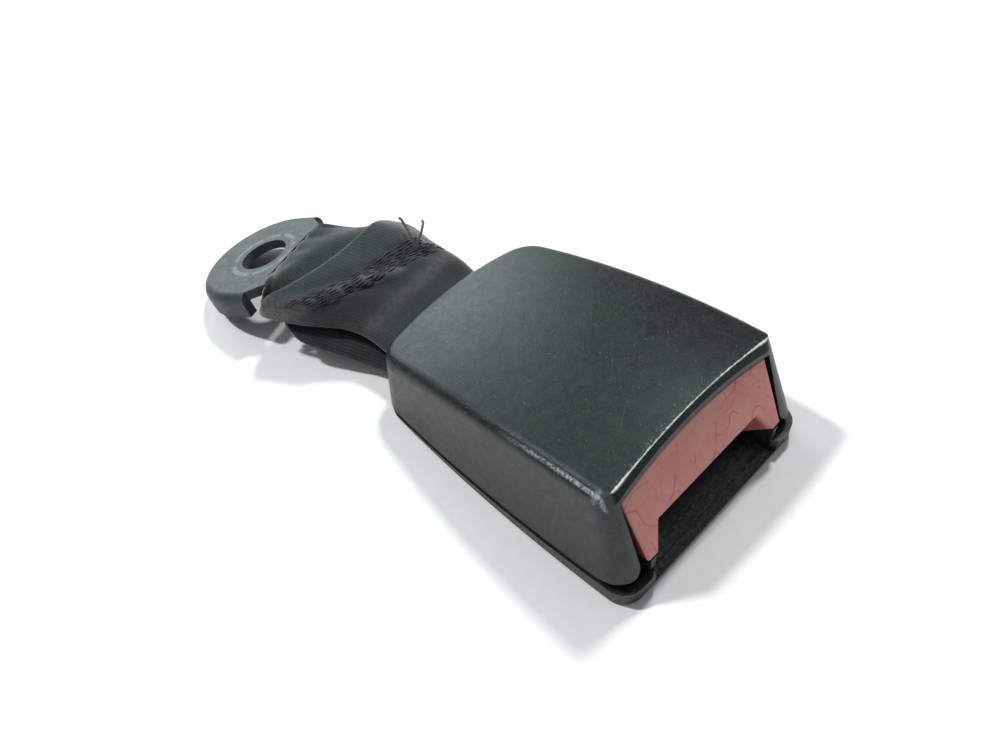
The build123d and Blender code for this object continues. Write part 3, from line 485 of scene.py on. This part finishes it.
# ------------------------------------------------------------------ webbing
# rows of control points across the webbing (mm), near edge first, following the lie of each ply
TOP = [
    [(-33.35, 72.81, 11.5), (-32.15, 71.14, 16.2), (-25.84, 68.86, 17.8), (-18.13, 67.46, 18.5), (-9.25, 67.83, 18.6), (1.29, 69.95, 18.0), (8.39, 72.61, 13.0)],
    [(-31.76, 68.4, 11.5), (-29.8, 67.16, 16.0), (-24.58, 63.58, 17.4), (-16.92, 62.56, 18.0), (-7.68, 62.92, 18.1), (3.44, 65.21, 17.4), (10.99, 67.33, 12.5)],
    [(-29.15, 63.12, 11.3), (-27.22, 62.51, 15.4), (-21.77, 59.3, 16.7), (-14.32, 57.6, 17.2), (-5.09, 57.49, 17.2), (4.99, 58.49, 16.2), (11.09, 59.93, 11.5)],
    [(-26.1, 58.51, 11.0), (-23.87, 57.77, 14.6), (-17.89, 55.63, 15.8), (-10.06, 53.96, 16.0), (-1.14, 53.32, 15.9), (7.39, 53.23, 14.6), (12.17, 54.16, 10.0)],
    [(-22.76, 53.95, 10.6), (-20.3, 53.14, 13.2), (-14.45, 51.16, 14.4), (-6.57, 49.43, 14.6), (2.22, 48.52, 14.4), (9.37, 47.91, 13.0), (12.39, 48.32, 8.5)],
    [(-20.61, 48.1, 10.0), (-17.84, 47.59, 11.6), (-11.67, 46.0, 12.6), (-4.15, 44.49, 12.9), (3.76, 43.62, 12.6), (9.98, 42.34, 11.2), (12.19, 42.51, 7.0)],
    [(-20.3, 40.8, 9.3), (-17.2, 40.8, 11.0), (-10.5, 40.6, 11.7), (-3.0, 40.2, 11.9), (5.0, 39.6, 11.8), (12.0, 38.9, 11.2), (16.0, 38.6, 9.0)],
    [(-20.9, 35.4, 10.4), (-14.6, 35.4, 11.1), (-7.4, 35.3, 11.2), (0.0, 35.2, 11.2), (7.4, 35.1, 11.2), (14.4, 35.0, 11.1), (20.4, 34.9, 10.6)],
]
SLOT = [
    [(-32.9, 71.9, 13.4), (-30.6, 72.2, 16.6), (-25.0, 72.3, 18.1), (-18.3, 72.5, 18.4), (-10.6, 73.3, 18.2), (-4.0, 75.2, 16.3), (0.8, 77.7, 12.7)],
]
BELOW = [
    [(-20.9, 35.2, 2.9), (-14.0, 35.2, 3.0), (-7.0, 35.2, 3.0), (0.0, 35.2, 3.0), (7.0, 35.2, 3.0), (14.0, 35.2, 3.0), (20.4, 35.2, 2.9)],
    [(-21.6, 41.0, 3.3), (-15.8, 41.0, 3.1), (-9.5, 40.9, 3.0), (-3.0, 40.7, 3.0), (4.0, 40.5, 3.1), (10.5, 40.2, 3.3), (15.5, 40.0, 4.3)],
    [(-23.2, 46.2, 3.6), (-19.0, 47.2, 5.6), (-12.6, 47.4, 5.6), (-5.6, 47.4, 4.9), (1.4, 47.3, 4.6), (7.6, 47.2, 4.8), (12.3, 47.2, 5.6)],
    [(-27.2, 54.0, 5.6), (-22.2, 55.6, 7.6), (-15.6, 55.9, 7.0), (-8.4, 55.8, 6.4), (-1.4, 55.9, 6.3), (5.0, 56.2, 6.6), (10.2, 56.8, 7.6)],
    [(-31.0, 62.6, 7.6), (-25.6, 64.4, 9.6), (-19.0, 64.6, 9.0), (-11.8, 64.9, 8.6), (-4.8, 65.5, 8.6), (1.5, 66.4, 9.2), (6.8, 67.6, 10.0)],
    [(-29.8, 69.6, 10.6), (-25.6, 69.8, 10.3), (-20.6, 70.0, 10.4), (-15.0, 70.8, 10.6), (-9.4, 72.0, 10.7), (-4.2, 73.6, 10.9), (0.2, 75.4, 11.3)],
]
BAR_Y, BAR_Z, BAR_MID = 31.5, 7.0, 4.0
HOLE_C = np.array((-20.35, 89.56, 11.72))
AU = np.array((0.9458, 0.3223, -0.0403))
AU /= np.linalg.norm(AU)
AN = np.array((-0.0709, 0.3261, 0.9427))
AN -= AU * AN.dot(AU)
AN /= np.linalg.norm(AN)
AV = np.cross(AN, AU)
PIN = HOLE_C - AV * 14.25 - AN * 1.25
WIDTH, THICK = 47.0, 1.25
ACROSS = 110


def catmull(points, n):
    """n points along a smooth curve through the control points, evenly spaced in parameter"""
    p = np.asarray(points, float)
    p = np.concatenate(([2 * p[0] - p[1]], p, [2 * p[-1] - p[-2]]))
    t = np.linspace(0, len(p) - 3, n)
    i = np.minimum(t.astype(int), len(p) - 4)
    f = (t - i).reshape((-1,) + (1,) * (p.ndim - 1))
    a, b, c, d = p[i], p[i + 1], p[i + 2], p[i + 3]
    return 0.5 * (2 * b + (c - a) * f + (2 * a - 5 * b + 4 * c - d) * f ** 2 + (3 * b - a - 3 * c + d) * f ** 3)


def even(curve, n):
    """resample a polyline to n points evenly spaced along its length"""
    s = np.concatenate(([0], np.cumsum(np.linalg.norm(np.diff(curve, axis=0), axis=1))))
    t = np.linspace(0, s[-1], n)
    return np.stack([np.interp(t, s, curve[:, k]) for k in range(3)], axis=1)


def row(points):
    return even(catmull(points, 300), ACROSS)


def bar_row(angle):
    r = math.radians(angle)
    x = np.linspace(-20.9, 20.9, ACROSS)
    return np.stack((x, np.full(ACROSS, BAR_Y - BAR_MID * math.sin(r)), np.full(ACROSS, BAR_Z + BAR_MID * math.cos(r))), axis=1)


def pin_row(angle, near_u, far_u, lift=0.0):
    r = math.radians(angle)
    mid = float(np.interp(angle, (0, 30, 60, 90, 120, 150, 180), (2.25, 2.7, 2.95, 2.7, 2.95, 2.7, 2.25)))
    u = np.linspace(-near_u, far_u, ACROSS)
    gather = 0.16 * np.sin(np.linspace(0, 2 * math.pi * 5, ACROSS))
    base = PIN + AV * (mid * math.sin(r)) + AN * (mid * math.cos(r) + lift)
    out = AV * math.sin(r) + AN * math.cos(r)
    return base + AU * u[:, None] + out * gather[:, None]


rows = [row(r) for r in TOP]
rows += [bar_row(a) for a in (0, 30, 60, 90, 120, 150, 180)]
rows += [row(r) for r in BELOW]
rows += [pin_row(a, h, k) for a, h, k in ((180, 12.0, 12.0), (150, 10.6, 10.6), (120, 9.4, 9.4), (90, 9.3, 9.2), (60, 10.6, 9.6), (30, 13.0, 9.8), (5, 15.8, 10.8))]
rows += [row(r) for r in SLOT]
UNDER_DROP = THICK + 0.12
for r in TOP[:4]:
    rows.append(row([(x, y, z) for x, y, z in r]))
rows = np.array(rows)


def surface_normals(grid):
    dv = np.gradient(grid, axis=0)
    du = np.gradient(grid, axis=1)
    n = np.cross(dv, du)
    n /= np.maximum(np.linalg.norm(n, axis=2, keepdims=True), 1e-9)
    return n


# the last plies lie against the underside of the first
top_n = surface_normals(rows[:8])
for k in range(4):
    rows[len(rows) - 4 + k] = rows[k] - top_n[k] * UNDER_DROP
centre = rows.mean(axis=1)
lengths = np.linalg.norm(np.diff(centre, axis=0), axis=1)
samples = [0.0]
for k, d in enumerate(lengths):
    n = max(2, int(round(d / 0.8)))
    samples += [k + (j + 1) / n for j in range(n)]
samples = np.array(samples)
pad = np.concatenate(([2 * rows[0] - rows[1]], rows, [2 * rows[-1] - rows[-2]]))
i = np.minimum(samples.astype(int), len(rows) - 2)
f = (samples - i)[:, None, None]
a, b, c, d = pad[i], pad[i + 1], pad[i + 2], pad[i + 3]
grid = 0.5 * (2 * b + (c - a) * f + (2 * a - 5 * b + 4 * c - d) * f ** 2 + (3 * b - a - 3 * c + d) * f ** 3)
normals = surface_normals(grid)
along = np.concatenate(([0], np.cumsum(np.linalg.norm(np.diff(grid.mean(axis=1), axis=0), axis=1))))

# stitched rows: pitch and where they run, in (u, v) millimetres on the top ply
ROWS_N, ROW_PITCH, ROW_V0, ROW_SKEW = 8, 0.86, 6.2, 0.105
STITCH_U0, STITCH_U1, STITCH_LEN = 4.5, 43.5, 2.9
u_mm = np.linspace(0, WIDTH, ACROSS)
rng = random.Random(7)
lift = np.zeros(grid.shape[:2])
sewn = np.zeros(grid.shape[:2])
for r_i in range(len(along)):
    v = along[r_i]
    if v > 24:
        break
    for c_i in range(ACROSS):
        u = u_mm[c_i]
        if STITCH_U0 - 0.5 < u < STITCH_U1 + 0.5:
            w = (v - ROW_V0 - ROW_SKEW * u) / ROW_PITCH
            if -0.6 < w < ROWS_N - 0.4:
                wave_ = math.cos(2 * math.pi * w)
                lift[r_i, c_i] += 0.13 * wave_ - 0.10 + 0.05 * math.sin(u * 2.2 + round(w) * 2.1)
                sewn[r_i, c_i] = min(1.0, max(0.0, 0.55 - 0.75 * wave_))
# slow puckers either side of the sewing
puck_v = along[:, None] - ROW_V0 - ROW_SKEW * u_mm[None, :] - ROWS_N * ROW_PITCH
lift += 0.22 * np.exp(-(puck_v / 3.2) ** 2) * np.sin(u_mm[None, :] * 0.62 + 0.6) * (along[:, None] < 26)
lift += 0.05 * np.sin(u_mm[None, :] * 0.37 + along[:, None] * 0.21) * (along[:, None] < 60)
rub_highlight_groove_shade = np.zeros(grid.shape[:2])
FOLDS = [
    ([(-32.8, 71.4), (-29.9, 66.4), (-25.8, 61.8), (-21.8, 59.9), (-17.6, 58.6), (-11.2, 56.2), (-4.2, 53.8)], 0.75, 1.25),
    ([(-18.5, 48.2), (-11.3, 47.9), (-1.4, 48.0), (7.0, 49.7)], 0.35, 2.2),
    ([(-24.0, 64.5), (-18.0, 61.6), (-10.0, 59.0), (0.0, 56.6)], -0.35, 1.8),
]
for line, height, reach in FOLDS:
    path = catmull([(x_, y_, 0.0) for x_, y_ in line], 60)
    gap = np.full(grid.shape[:2], 99.0)
    for p in path:
        gap = np.minimum(gap, np.hypot(grid[:, :, 0] - p[0], grid[:, :, 1] - p[1]))
    lift += height * np.exp(-(gap / reach) ** 2) * (along[:, None] < 36)
    # painted highlight along the fold ridges, with some rubbing, handed to the material
    if height > 0:
        rub_highlight_groove_shade = np.maximum(rub_highlight_groove_shade, height / 0.75 * np.exp(-((gap - 0.2) / (reach * 0.75)) ** 2) * (along[:, None] < 36))
grid = grid + normals * lift[:, :, None]
normals = surface_normals(grid)

# a closed section: outer face, rounded selvedge, inner face, rounded selvedge
nv = len(grid)
du = np.gradient(grid, axis=1)
du /= np.linalg.norm(du, axis=2, keepdims=True)
taper = np.ones(ACROSS)
taper[:3] = taper[-3:] = (0.82, 0.95, 1.0)[0]
taper[1] = taper[-2] = 0.95
outer = grid + normals * (THICK / 2 * taper)[None, :, None]
inner = grid - normals * (THICK / 2 * taper)[None, :, None]
near = grid[:, :1] - du[:, :1] * 0.38
far = grid[:, -1:] + du[:, -1:] * 0.38
ring = np.concatenate((outer, far, inner[:, ::-1], near), axis=1)
width = ring.shape[1]
ring_u = np.concatenate((u_mm, [WIDTH + 0.5], u_mm[::-1], [-0.5]))
verts = (ring.reshape(-1, 3) * MM).tolist()
faces = []
for r_i in range(nv - 1):
    for c_i in range(width):
        c_n = (c_i + 1) % width
        faces.append((r_i * width + c_i, r_i * width + c_n, (r_i + 1) * width + c_n, (r_i + 1) * width + c_i))
for r_i, flip in ((0, False), (nv - 1, True)):
    base_i = r_i * width
    for c_i in range(ACROSS - 1):
        q = (base_i + c_i, base_i + c_i + 1, base_i + 2 * ACROSS - c_i - 1, base_i + 2 * ACROSS - c_i)
        faces.append(q if flip else q[::-1])
    # close the two selvedges
    t1 = (base_i + ACROSS - 1, base_i + ACROSS, base_i + ACROSS + 1)
    t2 = (base_i + 0, base_i + 2 * ACROSS, base_i + 2 * ACROSS + 1)
    faces.append(t1 if flip else t1[::-1])
    faces.append(t2 if flip else t2[::-1])
mesh = bpy.data.meshes.new("webbing_strap")
mesh.from_pydata(verts, [], faces)
uv_layer = mesh.uv_layers.new(name="weave")
loop_vert = np.zeros(len(mesh.loops), dtype=np.int32)
mesh.loops.foreach_get("vertex_index", loop_vert)
uv = np.empty((len(loop_vert), 2), dtype=np.float32)
uv[:, 0] = ring_u[loop_vert % width]
uv[:, 1] = along[loop_vert // width]
uv_layer.data.foreach_set("uv", uv.ravel())
# painted shade: the grooves between the stitch rows go negative
rub_highlight_groove_shade = rub_highlight_groove_shade - sewn * 0.9
rub_highlight_shade_ring = np.concatenate((rub_highlight_groove_shade, rub_highlight_groove_shade[:, -1:], rub_highlight_groove_shade[:, ::-1] * 0, rub_highlight_groove_shade[:, :1]), axis=1)
rub_highlight_shade_layer = mesh.attributes.new("rub_highlight_groove_shade", "FLOAT", "POINT")
rub_highlight_shade_layer.data.foreach_set("value", rub_highlight_shade_ring.ravel().astype(np.float32))
mesh.materials.append(web_mat)
bm = bmesh.new()
bm.from_mesh(mesh)
bmesh.ops.recalc_face_normals(bm, faces=bm.faces)
bm.to_mesh(mesh)
bm.free()
for p in mesh.polygons:
    p.use_smooth = True
strap = bpy.data.objects.new("webbing_strap", mesh)
scene.collection.objects.link(strap)
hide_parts("webbing")
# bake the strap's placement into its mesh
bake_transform(strap)


def on_top(u, v, above=0.0):
    """a point on the outer face of the top ply, with its normal and directions"""
    r_f = np.interp(v, along, np.arange(nv))
    c_f = np.interp(u, u_mm, np.arange(ACROSS))
    r0, c0 = int(r_f), int(c_f)
    r1, c1 = min(r0 + 1, nv - 1), min(c0 + 1, ACROSS - 1)
    fr, fc = r_f - r0, c_f - c0

    def at(g):
        return (g[r0, c0] * (1 - fr) * (1 - fc) + g[r1, c0] * fr * (1 - fc) + g[r0, c1] * (1 - fr) * fc + g[r1, c1] * fr * fc)

    n = at(normals)
    n = n / np.linalg.norm(n)
    return at(outer) + n * above, n


def tube(points, radii, sides=7):
    """a closed tube through the points, with a radius at each"""
    pts = np.asarray(points, float)
    tan = np.gradient(pts, axis=0)
    tan /= np.linalg.norm(tan, axis=1, keepdims=True)
    vs, fs = [], []
    ref = np.array((0.1, 0.2, 0.97))
    for k, p in enumerate(pts):
        e1 = np.cross(tan[k], ref)
        e1 /= np.linalg.norm(e1)
        e2 = np.cross(tan[k], e1)
        for j in range(sides):
            a_ = 2 * math.pi * j / sides
            vs.append(p + (e1 * math.cos(a_) + e2 * math.sin(a_)) * radii[k])
    for k in range(len(pts) - 1):
        for j in range(sides):
            fs.append((k * sides + j, k * sides + (j + 1) % sides, (k + 1) * sides + (j + 1) % sides, (k + 1) * sides + j))
    fs.append(tuple(range(sides))[::-1])
    fs.append(tuple((len(pts) - 1) * sides + j for j in range(sides)))
    return vs, fs


def mesh_piece(name, pieces_, material, replaced):
    vs, fs = [], []
    for v_, f_ in pieces_:
        o_ = len(vs)
        vs += [tuple(np.array(p) * MM) for p in v_]
        fs += [tuple(i_ + o_ for i_ in face) for face in f_]
    me = bpy.data.meshes.new(name)
    me.from_pydata(vs, [], fs)
    me.materials.append(material)
    b_ = bmesh.new()
    b_.from_mesh(me)
    bmesh.ops.recalc_face_normals(b_, faces=b_.faces)
    b_.to_mesh(me)
    b_.free()
    for p in me.polygons:
        p.use_smooth = True
    ob = bpy.data.objects.new(name, me)
    scene.collection.objects.link(ob)
    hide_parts(replaced)
    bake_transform(ob)
    return ob


# each stitch is a short bight of thread that rises from one hole and dives into the next
bights = []
for k in range(ROWS_N):
    u = STITCH_U0 + rng.uniform(0, 1.2)
    while u < STITCH_U1 - STITCH_LEN:
        length = STITCH_LEN * rng.uniform(0.9, 1.08)
        pts, rad = [], []
        drift = rng.uniform(-0.16, 0.16)
        for t in np.linspace(0, 1, 9):
            uu = u + length * t
            vv = ROW_V0 + ROW_PITCH * k + ROW_SKEW * uu + 0.05 * math.sin(uu * 3) + drift * (t - 0.5) * 1.6
            p, n = on_top(uu, vv, -0.20 + 0.27 * math.sin(math.pi * t) ** 0.6)
            pts.append(p)
            rad.append(0.22 * (0.55 + 0.45 * math.sin(math.pi * min(max(t, 0.06), 0.94)) ** 0.5))
        bights.append(tube(pts, rad))
        u += length + 0.3
stitches = mesh_piece("stitch_rows", bights, thread_mat, "stitching")

# ------------------------------------------------------------------ loose thread ends
TAILS = [
    [(7.3, 66.2, 18.6), (7.0, 65.0, 19.0), (5.9, 62.2, 19.2), (4.5, 58.8, 19.1), (3.6, 55.6, 18.3), (3.3, 54.3, 17.4)],
    [(12.9, 64.3, 15.0), (12.4, 63.2, 15.6), (9.9, 60.4, 17.4), (7.2, 57.9, 18.3), (4.6, 56.1, 18.5), (3.0, 54.7, 17.6)],
]
ends = []
for pts in TAILS:
    curve = catmull(pts, 40)
    radii = np.full(40, 0.36)
    radii[0] = radii[-1] = 0.12
    radii[1] = radii[-2] = 0.28
    ends.append(tube(curve, radii, 8))
mesh_piece("thread_ends", ends, thread_mat, "thread_tails")



# ---- the coil springs, each attached to the housing
def spring(name, start, axis, length, radius, wire, turns):
    start, axis = np.array(start, float), np.array(axis, float)
    side = np.array((1.0, 0.0, 0.0))
    other = np.cross(axis, side)
    n_, sides = int(turns * 26) + 1, 8
    vs, fs = [], []
    for k in range(n_):
        t_ = k / (n_ - 1)
        a_ = 2 * math.pi * turns * t_
        out = side * math.cos(a_) + other * math.sin(a_)
        along = (other * math.cos(a_) - side * math.sin(a_)) * 2 * math.pi * turns * radius + axis * length
        along /= np.linalg.norm(along)
        up = np.cross(along, out)
        c_ = start + out * radius + axis * length * t_
        for j in range(sides):
            b_ = 2 * math.pi * j / sides
            vs.append(c_ + (out * math.cos(b_) + up * math.sin(b_)) * wire)
    for k in range(n_ - 1):
        for j in range(sides):
            i_ = (j + 1) % sides
            fs.append((k * sides + j, k * sides + i_, (k + 1) * sides + i_, (k + 1) * sides + j))
    fs.append(tuple(range(sides))[::-1])
    fs.append(tuple((n_ - 1) * sides + j for j in range(sides)))
    me = bpy.data.meshes.new(name + "_coil")
    me.from_pydata([tuple(v_ * MM) for v_ in vs], [], fs)
    me.materials.append(spring_mat)
    b_ = bmesh.new()
    b_.from_mesh(me)
    bmesh.ops.recalc_face_normals(b_, faces=b_.faces)
    b_.to_mesh(me)
    b_.free()
    for p in me.polygons:
        p.use_smooth = True
    ob = bpy.data.objects.new(name + "_coil", me)
    scene.collection.objects.link(ob)
    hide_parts(name)
    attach(ob, "housing")
    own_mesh(ob)


spring("latch_spring", (0, -1, 14.43), (0, 0, 1), 4.64, 2.9, 0.3, 2.5)
spring("ejector_spring", (0, 2.4, 7.0), (0, 1, 0), 18.2, 2.0, 0.35, 8)
spring("button_spring_left", (-20.5, -23.65, 18.5), (0, 1, 0), 10.8, 1.6, 0.3, 7)
spring("button_spring_right", (20.5, -23.65, 18.5), (0, 1, 0), 10.8, 1.6, 0.3, 7)

floor_mat = Mat("floor_white")
grainy = floor_mat.noise(0.3, 2.0)
floor_mat.done(floor_mat.mix(floor_mat.step(grainy, 0.3, 0.7), (0.85, 0.855, 0.86), (0.87, 0.875, 0.88)), 0.6, spec=0.2)
floor.data.materials.append(floor_mat.mat)
